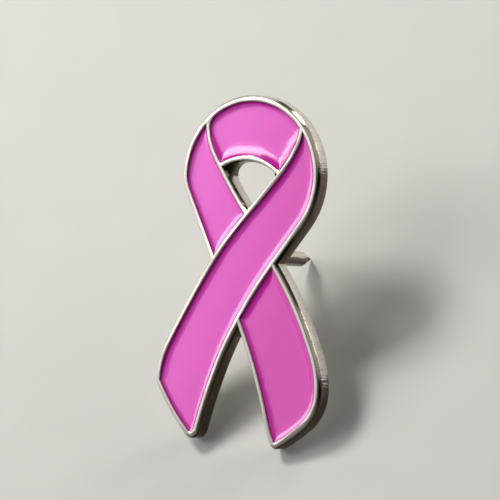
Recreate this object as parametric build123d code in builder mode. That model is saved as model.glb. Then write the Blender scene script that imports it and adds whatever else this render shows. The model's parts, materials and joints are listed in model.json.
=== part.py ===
"""Awareness ribbon pin: a die-struck metal ribbon with four enamel fills and a soldered back post.

The ribbon is drawn flat, as a net of rim centre lines with its origin at the middle of the loop.
Five bays lie between the lines: four hold enamel and the fifth is the open eye of the loop.
The finished pin lies face up on its leg tips and the point of its post, legs towards -Y.
"""

import os
from math import acos, atan2, cos, degrees, hypot, radians, sin

from build123d import *

os.makedirs("parts", exist_ok=True)

# Struck metal
thickness = 1.45  # back face to the tops of the rims
rim_width = 0.32  # width of every raised rim
recess_depth = 0.55  # rim top to the floor of an enamel bay
flank_drop = 0.3  # height of the sloping struck flank below the rim top
flank_foot = thickness - flank_drop
flank_run = 0.2  # how far the trimmed wall stands outside the rim
eye_flank_run = 0.12  # the same inside the eye

# Enamel
enamel_drop = 0.28  # rim top to the enamel's surface
enamel_gap = 0.02  # clearance to the metal around and below

# Post
post_radius = 0.65
post_length = 8.8  # back face to the point
post_point = 1.7  # length of the conical point
post_place = (0.0, -6.5)  # its middle on the back, in the drawing
post_root = 0.3  # how deep it is let into the back
solder_rise = 0.25  # fillet of solder round its foot

# Loop of the ribbon, in the drawing
loop_radius = 6.27  # centre line of the outer rim
divider_left_angle = 134.5  # where the left divider leaves the loop, in degrees from +X
divider_right_angle = 42  # where the right divider leaves it
shoulder_radius = 3.0  # tighter turn below the loop's left side
crown_corner = 1.4  # rounding of the crown's bay where the left divider leaves the loop

# Corners of the eye, the crossing and the legs, in the drawing
eye_left = (-2.97, 0.72)
eye_right = (2.85, 0.29)
eye_foot = (-0.06, -3.10)
eye_crown = (-0.25, 1.48)
cross_left = (-3.00, -6.95)
cross_right = (2.66, -6.96)
notch = (-0.29, -11.60)
left_corner = (-7.69, -17.20)
left_tip = (-3.94, -21.81)
right_tip = (3.94, -21.62)

# Rounding of the legs' corners and of the hole pierced in the eye, on the rims' centre lines
left_corner_radius = 0.35
left_tip_radius = 0.5
right_tip_radius = 0.25
eye_left_radius = 1.3
eye_right_radius = 0.7
eye_foot_radius = 0.45


def heading(lean):
    """Direction down the drawing, leaning the given degrees towards -X."""
    return Vector(-sin(radians(lean)), -cos(radians(lean)), 0)


def arcs(lean, *points):
    """Smooth run of arcs through the points, setting off at a lean down the drawing."""
    line = []
    direction = heading(lean)
    for start, end in zip(points, points[1:]):
        line.append(TangentArc(start, end, tangent=direction))
        direction = line[-1] % 1
    return line


def touch(middle, radius, point, side):
    """Angle round a circle where a straight line from the point touches it, side 1 or -1."""
    across, up = point[0] - middle[0], point[1] - middle[1]
    return degrees(atan2(up, across) + side * acos(radius / hypot(across, up)))


def round_loop(angle):
    """Point on the loop's centre line at an angle from +X."""
    return loop_radius * cos(radians(angle)), loop_radius * sin(radians(angle))


# Rim centre lines of the loop; each line is drawn once and shared by the bays beside it
loop_end = touch((0, 0), loop_radius, cross_right, 1)
crown_top = [CenterArc((0, 0), loop_radius, divider_right_angle, divider_left_angle - divider_right_angle)]
loop_right = [CenterArc((0, 0), loop_radius, loop_end, divider_right_angle - loop_end),
              Line(round_loop(loop_end), cross_right)]
shoulder_middle = (shoulder_radius - loop_radius, 0)
shoulder_turn = touch(shoulder_middle, shoulder_radius, cross_left, -1) + 180
shoulder = CenterArc(shoulder_middle, shoulder_radius, 180, shoulder_turn)
loop_left = [CenterArc((0, 0), loop_radius, divider_left_angle, 180 - divider_left_angle), shoulder,
             Line(shoulder @ 1, cross_left)]

# Long rims of the front strand, down its left side past the eye to the corner and down its right side
strand_left = arcs(-2, round_loop(divider_right_angle), (4.34, 2.66), eye_right, eye_foot, cross_left,
                   (-7.01, -14.17), left_corner)
divider_right, eye_right_side = strand_left[:2], strand_left[2:3]
cross_upper, front_outer = strand_left[3:4], strand_left[4:]
strand_right = arcs(36, cross_right, notch, (-2.37, -16.26), left_tip)
cross_lower, front_inner = strand_right[:1], strand_right[1:]
front_end = [ThreePointArc(left_corner, (-6.07, -19.54), left_tip)]

# Rim centre lines of the strand behind it, past the eye, and of the leg behind with its round corner
strand_behind = arcs(-2, round_loop(divider_left_angle), (-4.31, 3.58), (-3.62, 1.72), eye_left, eye_foot)
divider_left, eye_left_side = strand_behind[:3], strand_behind[3:]
eye_top = [ThreePointArc(eye_left, eye_crown, eye_right)]
back_outer = arcs(-39, cross_right, (7.04, -14.20), (7.67, -17.00), (6.42, -19.87), right_tip)
back_inner = arcs(-28, notch, (3.13, -19.86), right_tip)


def ring(lines, corners=()):
    """Flat area inside a ring of centre lines, with some of its corners rounded to their radius."""
    with BuildSketch() as sketch:
        with BuildLine():
            for line in lines:
                add(line)
        make_face()
        for corner, radius in corners:
            fillet(sketch.vertices().sort_by_distance((*corner, 0))[0], radius)
    return sketch.sketch


front_corners = [(left_corner, left_corner_radius), (left_tip, left_tip_radius)]
back_corner = [(right_tip, right_tip_radius)]
crown_bay = ring(crown_top + divider_left + eye_top + divider_right,
                 [(round_loop(divider_left_angle), crown_corner)])
left_bay = ring(loop_left + cross_upper + eye_left_side + divider_left)
front_bay = ring(loop_right + cross_lower + front_inner + front_end + front_outer + cross_upper
                 + eye_right_side + divider_right, front_corners)
right_bay = ring(cross_lower + back_outer + back_inner, back_corner)
eye_bay = ring(eye_top + eye_right_side + eye_left_side)
eye_hole = ring(eye_top + eye_right_side + eye_left_side,
                [(eye_left, eye_left_radius), (eye_right, eye_right_radius), (eye_foot, eye_foot_radius)])
silhouette = ring(crown_top + loop_right + back_outer + back_inner + front_inner + front_end
                  + front_outer + loop_left, front_corners + back_corner)


def area(drawn, growth):
    """A drawn area, grown or, where growth is negative, drawn in."""
    with BuildSketch() as sketch:
        add(drawn)
        offset(amount=growth)
    return sketch.sketch


# The pin leans back on its post: the leg tips and the point of the post touch the ground
plan = area(silhouette, rim_width / 2 + flank_run).bounding_box()
lean_back = atan2(post_length, post_place[1] - plan.min.Y)
front_reach = plan.min.Y * cos(lean_back) - flank_foot * sin(lean_back)
back_reach = plan.max.Y * cos(lean_back)
back_face = Plane(
    origin=(-(plan.min.X + plan.max.X) / 2, -(front_reach + back_reach) / 2, -plan.min.Y * sin(lean_back)),
    x_dir=(1, 0, 0),
    z_dir=(0, -sin(lean_back), cos(lean_back)),
)
rim_tops = back_face.offset(thickness)

# Profile plane of the post: its local Y runs from the back face to the point
post_foot = back_face.from_local_coords((*post_place, 0))
post_profile = Plane(origin=post_foot, x_dir=(1, 0, 0), z_dir=back_face.y_dir)

with BuildPart() as ribbon_body:
    # Straight trimmed walls below the struck flanks, first round the outline and then inside the eye,
    # where the pierced hole has rounder corners than the flank above it
    for drawn, trimmed, rim, run, mode in (
            (silhouette, silhouette, rim_width / 2, flank_run, Mode.ADD),
            (eye_bay, eye_hole, -rim_width / 2, -eye_flank_run, Mode.SUBTRACT)):
        with BuildSketch(back_face):
            add(area(trimmed, rim + run))
        extrude(amount=flank_foot, mode=mode)
        with BuildSketch(back_face.offset(flank_foot)):
            add(area(drawn, rim + run))
        with BuildSketch(rim_tops):
            add(area(drawn, rim))
        loft(mode=mode)

    # Bays for the enamel
    with BuildSketch(rim_tops):
        for bay in (crown_bay, left_bay, front_bay, right_bay):
            add(area(bay, -rim_width / 2))
    extrude(amount=-recess_depth, mode=Mode.SUBTRACT)

    # Post, with a fillet of solder round its foot
    with BuildSketch(post_profile):
        with BuildLine():
            Polyline((0, post_length), (0, -post_root), (post_radius + solder_rise, -post_root),
                     (post_radius + solder_rise, 0))
            RadiusArc((post_radius + solder_rise, 0), (post_radius, solder_rise), solder_rise)
            Polyline((post_radius, solder_rise), (post_radius, post_length - post_point), (0, post_length))
        make_face()
    revolve(axis=Axis(post_foot, -back_face.z_dir))
ribbon_body.part.label = "ribbon_body"
export_step(ribbon_body.part, "parts/ribbon_body.step")


def enamel(bay, name):
    """Fill of one bay, clear of the metal by the small gap."""
    with BuildPart() as fill:
        with BuildSketch(rim_tops.offset(-enamel_drop)):
            add(area(bay, -rim_width / 2 - enamel_gap))
        extrude(amount=enamel_drop + enamel_gap - recess_depth)
    fill.part.label = name
    export_step(fill.part, f"parts/{name}.step")


enamel(crown_bay, "enamel_crown")
enamel(left_bay, "enamel_left_strand")
enamel(front_bay, "enamel_front_strand")
enamel(right_bay, "enamel_right_leg")

box = ribbon_body.part.bounding_box()
print("box", box.min, box.max, "lean", degrees(lean_back))
print("post foot", post_foot, "axis", -back_face.z_dir)
print("volume", ribbon_body.part.volume)
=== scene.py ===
"""Looks of the awareness ribbon pin: struck, plated metal with four dished fills of pink enamel."""
import json
from math import cos, radians, sin

import bmesh
import bpy
from mathutils import Matrix, Vector

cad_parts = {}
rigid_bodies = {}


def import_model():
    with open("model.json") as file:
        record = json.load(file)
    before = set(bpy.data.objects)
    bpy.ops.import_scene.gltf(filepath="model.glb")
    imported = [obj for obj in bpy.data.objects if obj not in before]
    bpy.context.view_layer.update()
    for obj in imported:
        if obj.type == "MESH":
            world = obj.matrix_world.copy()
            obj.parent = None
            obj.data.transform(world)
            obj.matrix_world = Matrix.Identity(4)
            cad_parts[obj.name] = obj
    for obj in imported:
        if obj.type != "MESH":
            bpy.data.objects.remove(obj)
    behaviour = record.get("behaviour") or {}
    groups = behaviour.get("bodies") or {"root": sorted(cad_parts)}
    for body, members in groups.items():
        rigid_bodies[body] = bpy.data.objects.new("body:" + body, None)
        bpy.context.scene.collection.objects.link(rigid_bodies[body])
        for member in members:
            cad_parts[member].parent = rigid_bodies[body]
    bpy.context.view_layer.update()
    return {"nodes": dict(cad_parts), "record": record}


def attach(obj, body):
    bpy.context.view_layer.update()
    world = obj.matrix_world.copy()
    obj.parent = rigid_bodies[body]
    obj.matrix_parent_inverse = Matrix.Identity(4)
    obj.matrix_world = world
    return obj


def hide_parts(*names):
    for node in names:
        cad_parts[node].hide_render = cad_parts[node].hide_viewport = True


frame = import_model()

mm = 0.001

# The drawing's axes in the part's frame, from the post: across the ribbon, up it and out of its face
plate_thickness = 1.45 * mm  # back face to the tops of the rims
post_middle = 3.675 * mm  # from the back face to the middle of the post's straight length
post_below_loop = 6.5 * mm  # from the middle of the loop down to the post
post = next(mount for mount in frame["record"]["mounts"] if mount["name"] == "post")
across = Vector((1, 0, 0))
out = -Vector(post["axis"]).normalized()
up = out.cross(across)
loop_middle = Vector(post["pos_m"]) + out * (post_middle + plate_thickness) + up * post_below_loop
from_drawing = Matrix((across, up, out)).transposed()
to_drawing = from_drawing.inverted()


def level_of(point):
    """How high a point lies above the rim tops, square to them."""
    return (point - loop_middle).dot(out)


def facing(azimuth, height):
    """Direction at an azimuth round the drawing from +X and a height above its face, in degrees."""
    a, h = radians(azimuth), radians(height)
    return from_drawing @ Vector((cos(a) * cos(h), sin(a) * cos(h), sin(h)))


# Photograph's view of the pin
camera_turn = radians(33)  # to the pin's right
camera_rise = radians(0.5)
camera_roll = radians(3.7)
camera_distance = 282.6 * mm
camera_aim = loop_middle + from_drawing @ (Vector((0.53, -5.98, 0)) * mm)
sensor_width, camera_lens = 36, 250.56  # in millimetres
nearest, furthest = 0.01, 10  # that the camera sees, in metres


def photo_camera():
    """Camera at the photograph's angle to the pin."""
    toward = from_drawing @ Vector((sin(camera_turn) * cos(camera_rise), sin(camera_rise),
                                    cos(camera_turn) * cos(camera_rise)))
    level = from_drawing @ Vector((cos(camera_turn), 0, -sin(camera_turn)))
    raised = toward.cross(level)
    right = level * cos(camera_roll) + raised * sin(camera_roll)
    top = raised * cos(camera_roll) - level * sin(camera_roll)
    data = bpy.data.cameras.new("photo_camera")
    data.lens, data.sensor_width = camera_lens, sensor_width
    data.clip_start, data.clip_end = nearest, furthest
    camera = bpy.data.objects.new("photo_camera", data)
    bpy.context.scene.collection.objects.link(camera)
    camera.matrix_world = (Matrix.Translation(camera_aim + toward * camera_distance)
                           @ Matrix((right, top, toward)).transposed().to_4x4())
    bpy.context.scene.camera = camera


# Studio lights: degrees round the pin's face and above it, distance and side in metres, power in watts
key_white, panel_white = (1.0, 0.985, 0.96), (1.0, 0.99, 0.97)
softboxes = (
    ("key", 123, 26, 0.4, 0.1, 1.5, key_white),
    ("high_box", 148, 45, 0.4, 0.17, 0.46, key_white),
    ("side_box", 169, 30, 0.4, 0.16, 0.28, key_white),
    ("back_light", 73, -4, 0.4, 0.1, 0.38, key_white),
    ("floor_light", 39, -13, 0.6, 0.12, 1.3, key_white),
    ("far_light", 118, -15, 0.4, 0.2, 0.14, key_white),
    ("side_light", 36, 8, 0.4, 0.34, 0.17, key_white),
    ("top_panel", 166, 54, 0.45, 0.29, 0.32, panel_white),
    ("over_panel", 90, 79, 0.45, 0.3, 0.07, panel_white),
    ("left_panel", 192, 24, 0.45, 0.26, 0.17, panel_white),
)
room_colour, room_strength = (0.62, 0.61, 0.60, 1), 0.1


def studio_light():
    """Soft key and panels from the pin's upper left, and low lights beyond its loop and to its right."""
    for name, azimuth, height, distance, side, power, white in softboxes:
        data = bpy.data.lights.new(name, "AREA")
        data.shape, data.size, data.energy, data.color = "SQUARE", side, power, white
        light = bpy.data.objects.new(name, data)
        bpy.context.scene.collection.objects.link(light)
        light.location = camera_aim + facing(azimuth, height) * distance
        light.rotation_euler = facing(azimuth, height).to_track_quat("Z", "Y").to_euler()
    world = bpy.data.worlds.new("room")
    world.use_nodes = True
    background = world.node_tree.nodes["Background"]
    background.inputs["Color"].default_value = room_colour
    background.inputs["Strength"].default_value = room_strength
    bpy.context.scene.world = world
    bpy.context.scene.view_settings.view_transform = "Standard"


class Nodes:
    """Short way to add and join the nodes of a material."""

    def __init__(self, name):
        self.material = bpy.data.materials.new(name)
        self.material.use_nodes = True
        self.tree = self.material.node_tree
        self.shader = self.tree.nodes["Principled BSDF"]

    def put(self, socket, value):
        """Sets an input to a value, or joins it to another node's output."""
        if isinstance(value, bpy.types.NodeSocket):
            self.tree.links.new(value, socket)
        else:
            socket.default_value = value

    def add(self, kind, settings=None, **inputs):
        """Node of a kind, with its settings and its inputs, which go by name or, as i0 and i1, by place."""
        node = self.tree.nodes.new("ShaderNode" + kind)
        for key, value in (settings or {}).items():
            setattr(node, key, value)
        for key, value in inputs.items():
            self.put(node.inputs[int(key[1:]) if key[1:].isdigit() else key.replace("_", " ")], value)
        return node

    def drawing_place(self, stretch=1.0):
        """Object coordinates in the drawing's axes and millimetres, those square to its face stretched."""
        turned = self.add("Mapping", Vector=self.add("TexCoord").outputs["Object"], Scale=(1 / mm,) * 3,
                          Rotation=to_drawing.to_euler(), Location=-(to_drawing @ loop_middle / mm))
        return self.add("Mapping", Vector=turned.outputs[0], Scale=(1, 1, stretch)).outputs[0]

    def along(self, vector, direction):
        """How far a vector reaches in a direction."""
        return self.add("VectorMath", {"operation": "DOT_PRODUCT"}, i0=vector,
                        i1=direction).outputs["Value"]

    def turned_to(self, direction):
        """How far the surface is turned to a direction of the part's frame, from -1 to 1."""
        return self.along(self.add("NewGeometry").outputs["Normal"], direction)

    def math(self, operation, first, second):
        return self.add("Math", {"operation": operation}, i0=first, i1=second).outputs[0]

    def noise(self, place, scale, detail, roughness=0.5):
        return self.add("TexNoise", Vector=place, Scale=scale, Detail=detail,
                        Roughness=roughness).outputs["Fac"]

    def ramp(self, value, low, high, to_low=0.0, to_high=1.0):
        """Smooth step of a value between two limits."""
        return self.add("MapRange", {"interpolation_type": "SMOOTHSTEP"}, Value=value, From_Min=low,
                        From_Max=high, To_Min=to_low, To_Max=to_high).outputs[0]

    def spread(self, noise, low=0.0, high=1.0):
        """Noise, most of which lies between 0.3 and 0.7, spread between two values."""
        return self.ramp(noise, 0.3, 0.7, low, high)

    def blend(self, share, first, second):
        """Colour between two colours."""
        node = self.add("Mix", {"data_type": "RGBA"}, i0=share)
        self.put(node.inputs[6], first)
        self.put(node.inputs[7], second)
        return node.outputs[2]

    def bump(self, height, depth, under=None):
        """Bump of a height from 0 to 1 times a depth in metres, over another bump."""
        node = self.add("Bump", Strength=1.0, Distance=depth, Height=height)
        if under is not None:
            self.put(node.inputs["Normal"], under)
        return node.outputs[0]


# Metal, where one finish gives way to the next, in the drawing's millimetres
flank_levels = (-0.03, -0.12)  # from the rim to the struck flank
wall_levels = (-0.29, -0.34)  # from the flank to the trimmed wall
shade_top, shade_end = (-6.6, -7.2), (-11, -9.8)  # up the drawing, of the shaded flank below the crossing
shade_side = (1, 2)  # the same, across the drawing

# Metal, painted shade on the sides that aren't turned up the ribbon: how far a side is turned where the
# painted shade begins, and where it is full
painted_shade_turn = (0.22, 0.08)  # up the ribbon
painted_shade_edge = 0.1  # how much the ridges shift that, so that its edge is ragged
back_turn = (0.9, 0.6)  # to the back, which gets no painted shade

# Metal, the marks on it: the scale of each kind's noise to the millimetre, and its depth
cloud_scale, ridge_scale, grain_scale, pit_scale = 1.3, 9, 60, 7
ridge_stretch = 0.12  # the ridges run through the plate
ridge_roughness = 0.65
pit_noise = (0.7, 0.76)  # there is a pit where the noise is higher
ridge_depth, grain_depth = 0.03 * mm, 0.002 * mm

# Metal, its colours and how rough it is
polished_colours = (0.55, 0.525, 0.475, 1), (0.47, 0.445, 0.395, 1)
flank_colours = (0.42, 0.37, 0.30, 1), (0.50, 0.45, 0.38, 1)
sheared_colours = (0.57, 0.53, 0.47, 1), (0.71, 0.68, 0.62, 1)
# Colours of the painted shade on the flank and the wall, dark on the sides turned down the ribbon
flank_painted_shade, sheared_painted_shade = (0.05, 0.04, 0.028, 1), (0.14, 0.105, 0.078, 1)
pit_colour = (0.05, 0.04, 0.035, 1)
rim_roughness = (0.27, 0.35)
flank_polish = 0.16  # how much smoother the flank is than the rim
unshaded_tear, painted_shade_tear = 0.34, 0.1  # how much rougher the wall is than the flank, without and with painted shade


def plated_metal():
    """Nickel-plated struck metal: soft polish on the rims, duller flanks and a sheared wall."""
    n = Nodes("plated_metal")
    place = n.drawing_place()
    spot = n.add("SeparateXYZ", Vector=place)
    on_wall = n.ramp(spot.outputs["Z"], *wall_levels)
    on_flank = n.ramp(spot.outputs["Z"], *flank_levels)
    clouds = n.noise(place, cloud_scale, 4)
    ridges = n.noise(n.drawing_place(ridge_stretch), ridge_scale, 5, ridge_roughness)
    grain = n.noise(place, grain_scale, 2)
    pits = n.ramp(n.noise(place, pit_scale, 2), *pit_noise)

    # Painted shade on the sides that aren't turned up the ribbon, and painted shade on the right flank
    # below the crossing
    turned_up = n.math("ADD", n.turned_to(up), n.spread(ridges, -painted_shade_edge, painted_shade_edge))
    off_back = n.ramp(n.turned_to(-out), *back_turn)
    painted_shade = n.math("MULTIPLY", n.ramp(turned_up, *painted_shade_turn), off_back)
    below_crossing = n.math("MULTIPLY", n.ramp(spot.outputs["Y"], *shade_top),
                            n.ramp(spot.outputs["Y"], *shade_end))
    shade = n.math("MULTIPLY", below_crossing, n.ramp(spot.outputs["X"], *shade_side))

    polished = n.blend(clouds, *polished_colours)
    # The wall and the flank darken to painted shade on the sides that aren't turned up the ribbon
    sheared = n.blend(painted_shade, n.blend(n.spread(ridges), *sheared_colours), sheared_painted_shade)
    flank = n.blend(n.math("MAXIMUM", painted_shade, shade), n.blend(clouds, *flank_colours), flank_painted_shade)
    colour = n.blend(on_wall, n.blend(on_flank, polished, flank), sheared)
    n.put(n.shader.inputs["Base Color"], n.blend(n.math("MULTIPLY", pits, on_wall), colour, pit_colour))
    n.put(n.shader.inputs["Metallic"], 1.0)
    rough = n.math("SUBTRACT", n.spread(clouds, *rim_roughness), n.math("MULTIPLY", on_flank, flank_polish))
    torn = n.math("MULTIPLY", on_wall, n.ramp(painted_shade, 0, 1, unshaded_tear, painted_shade_tear))
    n.put(n.shader.inputs["Roughness"], n.math("ADD", rough, torn))
    relief = n.bump(n.math("MULTIPLY", ridges, on_wall), ridge_depth)
    n.put(n.shader.inputs["Normal"], n.bump(grain, grain_depth, relief))
    return n.material


# Enamel, its colours with painted shade down to the right and by the rims, in the drawing's millimetres
# where they change, and its surface
enamel_and_painted_shade_colours = (0.86, 0.11, 0.66, 1), (0.67, 0.01, 0.445, 1)
painted_shade_way, painted_shade_span = (0.93, -0.36, 0), (-6, 10)  # of the painted shade, down to the right
cloud_share = 0.1
# Painted shade where the fill creeps up to the rims: its levels and colour
rim_shade_levels, rim_painted_shade_colour = (-0.22, -0.15), (0.55, 0.008, 0.34, 1)
enamel_cloud_scale, ripple_scale = 0.6, 1.4
enamel_roughness = (0.11, 0.15)
ripple_depth = 0.012 * mm


def pink_enamel():
    """Glossy soft enamel, with painted shade making it deeper towards the right leg and where it creeps up
    the metal.
    """
    n = Nodes("pink_enamel")
    place = n.drawing_place()
    level = n.add("SeparateXYZ", Vector=place).outputs["Z"]
    clouds = n.noise(place, enamel_cloud_scale, 2)
    # Painted shade: the colour deepens down to the right, with random clouds
    painted_shade_down_right = n.ramp(n.along(place, painted_shade_way), *painted_shade_span)
    colour = n.blend(n.math("ADD", painted_shade_down_right, n.math("MULTIPLY", clouds, cloud_share)), *enamel_and_painted_shade_colours)
    # Painted shade darkens the fill where it creeps up to the rims
    n.put(n.shader.inputs["Base Color"], n.blend(n.ramp(level, *rim_shade_levels), colour, rim_painted_shade_colour))
    n.put(n.shader.inputs["IOR"], 1.8)
    n.put(n.shader.inputs["Subsurface Weight"], 0.7)
    n.put(n.shader.inputs["Subsurface Radius"], (1.0, 0.12, 0.6))
    n.put(n.shader.inputs["Subsurface Scale"], 0.4 * mm)
    n.put(n.shader.inputs["Roughness"], n.spread(clouds, *enamel_roughness))
    n.put(n.shader.inputs["Normal"], n.bump(n.noise(place, ripple_scale, 2), ripple_depth))
    return n.material


# Floor
floor_size = 3.0
floor_colours = (0.43, 0.42, 0.405, 1), (0.47, 0.46, 0.445, 1)
floor_cloud_scale, floor_grain_scale = 40, 200
floor_roughness = (0.8, 0.9)


def pale_floor():
    """Plain pale surface with a faint unevenness."""
    n = Nodes("pale_floor")
    place = n.add("TexCoord").outputs["Object"]
    n.put(n.shader.inputs["Base Color"], n.blend(n.noise(place, floor_cloud_scale, 3), *floor_colours))
    n.put(n.shader.inputs["Roughness"], n.spread(n.noise(place, floor_grain_scale, 2), *floor_roughness))
    return n.material


def floor():
    """Floor that the pin lies on."""
    bpy.ops.object.select_all(action="DESELECT")
    bpy.ops.mesh.primitive_plane_add(size=floor_size)
    plane = bpy.context.object
    plane.name = "floor"
    plane.data.materials.append(pale_floor())


same_corner = 0.001 * mm  # corners of a CAD mesh that are closer than this are one


def merged_copy(node, name):
    """Copy of a CAD node's mesh as a new piece, its corners merged, open for editing."""
    piece = bpy.data.objects.new(name, frame["nodes"][node].data.copy())
    bpy.context.scene.collection.objects.link(piece)
    piece.data.materials.clear()
    bpy.ops.object.select_all(action="DESELECT")
    piece.select_set(True)
    bpy.context.view_layer.objects.active = piece
    bpy.ops.object.mode_set(mode="EDIT")
    bpy.ops.mesh.select_all(action="SELECT")
    bpy.ops.mesh.remove_doubles(threshold=same_corner)
    return piece


def finished(piece, node, material):
    """Piece in its place and finish, standing for its CAD node."""
    piece.data.materials.append(material)
    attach(piece, "root")
    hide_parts(node)


# Metal, how far each kind of edge is rounded and where it lies, and turns in degrees
rim_rounding = 0.06 * mm
ledge_rounding, ledge_level = 0.015 * mm, -0.3 * mm
back_rounding = 0.08 * mm
level_slack = 0.005 * mm
sharp_turn = 20  # that a real edge turns by
flat_turn = 0.4  # under which two faces are one
metal_smooth_turn = 30


def round_edges(piece, level, width, segments):
    """Rounds the outward edges that lie at one level."""
    bpy.ops.mesh.select_all(action="DESELECT")
    bpy.ops.mesh.edges_select_sharp(sharpness=radians(sharp_turn))
    mesh = bmesh.from_edit_mesh(piece.data)
    for edge in mesh.edges:
        there = all(abs(level_of(vertex.co) - level) < level_slack for vertex in edge.verts)
        edge.select_set(edge.select and there and edge.is_convex)
    bmesh.update_edit_mesh(piece.data)
    bpy.ops.mesh.bevel(offset=width, segments=segments, affect="EDGES", miter_outer="ARC")


def struck_metal():
    """Plate, rims, flanks and post in one piece, its edges softened by tumbling."""
    piece = merged_copy("ribbon_body", "struck_ribbon")
    bpy.ops.mesh.dissolve_limited(angle_limit=radians(flat_turn))
    bpy.ops.mesh.select_mode(type="EDGE")
    round_edges(piece, 0.0, rim_rounding, 3)
    round_edges(piece, ledge_level, ledge_rounding, 2)
    round_edges(piece, -plate_thickness, back_rounding, 3)
    bpy.ops.object.mode_set(mode="OBJECT")
    bpy.ops.object.shade_smooth_by_angle(angle=radians(metal_smooth_turn))
    finished(piece, "ribbon_body", plated_metal())


# Enamel, its levels below the rim tops
cut_drop = 0.32 * mm  # of the flat fill before it is dished
middle_drop = 0.28 * mm
fill_bottom = 0.53 * mm

# Enamel, how its edge creeps up the metal, in two steps of rise and reach
creep = ((0.12 * mm, 0.85 * mm), (0.04 * mm, 0.45 * mm))
swell_top = 2.2 * mm  # above the eye, the crown's fill rises further than elsewhere, up to this height
swell_rise, swell_reach = 0.08 * mm, 1.5 * mm

# Enamel, its mesh
mesh_step = 0.1 * mm
face_up = 0.9  # how far a face of the top is at least turned out
sliver = 0.003 * mm  # edges that the cut leaves are merged away up to this length
fine_rings = 3  # rings of faces by the metal that are divided once more
enamel_smooth_turn = 50


def select_boundary():
    """Selects the open edges of the piece being edited, and nothing else."""
    bpy.ops.mesh.select_mode(type="EDGE")
    bpy.ops.mesh.select_all(action="DESELECT")
    bpy.ops.mesh.select_non_manifold(extend=False, use_wire=False, use_boundary=True, use_multi_face=False,
                                     use_non_contiguous=False, use_verts=False)


def draw_up(rise, reach, form):
    """Moves what is selected out of the face, and less and less of the surface round it."""
    bpy.ops.transform.translate(value=out * rise, use_proportional_edit=True, proportional_size=reach,
                                proportional_edit_falloff=form)


def grid_over(bay, name):
    """Fine grid over a bay, given some depth, as a new piece."""
    corners = [to_drawing @ vertex.co for vertex in bay.data.vertices]
    low = Vector([min(corner[axis] for corner in corners) for axis in range(3)])
    high = Vector([max(corner[axis] for corner in corners) for axis in range(3)])
    span = high - low + Vector((mesh_step, mesh_step, 0))
    middle = from_drawing @ ((low + high) / 2)
    bpy.ops.object.select_all(action="DESELECT")
    bpy.ops.mesh.primitive_grid_add(
        x_subdivisions=round(span.x / mesh_step), y_subdivisions=round(span.y / mesh_step), size=1,
        location=middle - out * (level_of(middle) + cut_drop), rotation=from_drawing.to_euler())
    piece = bpy.context.object
    piece.name = name
    piece.scale = (span.x, span.y, 1)
    bpy.ops.object.transform_apply(location=True, rotation=True, scale=True)
    bpy.ops.object.mode_set(mode="EDIT")
    bpy.ops.mesh.select_all(action="SELECT")
    bpy.ops.mesh.extrude_region_move(TRANSFORM_OT_translate={"value": -out * fill_bottom})
    bpy.ops.mesh.select_all(action="SELECT")
    bpy.ops.mesh.normals_make_consistent(inside=False)
    bpy.ops.object.mode_set(mode="OBJECT")
    return piece


def cut_to(piece, bay):
    """Cuts a piece to the outline of a bay, which is then removed."""
    cut = piece.modifiers.new("cut", "BOOLEAN")
    cut.operation, cut.solver, cut.object = "INTERSECT", "EXACT", bay
    bpy.ops.object.modifier_apply(modifier="cut")
    bpy.data.objects.remove(bay)


def keep_top(piece):
    """Keeps only the top of a fill, in smaller faces near the metal."""
    bpy.ops.mesh.select_mode(type="FACE")
    mesh = bmesh.from_edit_mesh(piece.data)
    for face in mesh.faces:
        face.select_set(face.normal.dot(out) < face_up)
    bmesh.update_edit_mesh(piece.data)
    bpy.ops.mesh.delete(type="FACE")
    bpy.ops.mesh.select_all(action="SELECT")
    bpy.ops.mesh.remove_doubles(threshold=sliver)
    select_boundary()
    for ring in range(fine_rings):
        bpy.ops.mesh.select_more()
    bpy.ops.mesh.subdivide(number_cuts=1)


def dish():
    """Sets the top to its level and draws its edge up the metal."""
    bpy.ops.mesh.select_all(action="SELECT")
    bpy.ops.transform.translate(value=out * (cut_drop - middle_drop))
    select_boundary()
    for rise, reach in creep:
        draw_up(rise, reach, "SHARP")


def swell_over_eye(piece):
    """Draws up the low edge of the crown's fill, of the boundary that is selected."""
    mesh = bmesh.from_edit_mesh(piece.data)
    for edge in mesh.edges:
        low_down = all((vertex.co - loop_middle).dot(up) < swell_top for vertex in edge.verts)
        edge.select_set(edge.is_boundary and low_down)
    bmesh.update_edit_mesh(piece.data)
    draw_up(swell_rise, swell_reach, "SMOOTH")


def close_below():
    """Gives the top its depth and cuts it off below."""
    select_boundary()
    bpy.ops.mesh.extrude_edges_move(TRANSFORM_OT_translate={"value": -out * fill_bottom})
    bpy.ops.mesh.select_all(action="SELECT")
    # What ends less than 0.1 mm below the cut stays, as the crown's hidden bottom does by the eye
    bpy.ops.mesh.bisect(plane_co=loop_middle - out * fill_bottom, plane_no=out, use_fill=True,
                        clear_inner=True)
    bpy.ops.mesh.select_all(action="SELECT")
    bpy.ops.mesh.normals_make_consistent(inside=False)


def enamel_fill(node, name, material):
    """Fill of one bay: a dished top in a fine mesh, whose edge creeps up the rims."""
    bay = merged_copy(node, name + "_bay")
    bpy.ops.object.mode_set(mode="OBJECT")
    piece = grid_over(bay, name)
    cut_to(piece, bay)
    bpy.ops.object.mode_set(mode="EDIT")
    keep_top(piece)
    dish()
    if node == "enamel_crown":
        swell_over_eye(piece)
    close_below()
    bpy.ops.object.mode_set(mode="OBJECT")
    bpy.ops.object.shade_smooth_by_angle(angle=radians(enamel_smooth_turn))
    finished(piece, node, material)


photo_camera()
studio_light()
floor()
struck_metal()
enamel = pink_enamel()
for cell in ("crown", "left_strand", "front_strand", "right_leg"):
    enamel_fill("enamel_" + cell, "fill_" + cell, enamel)
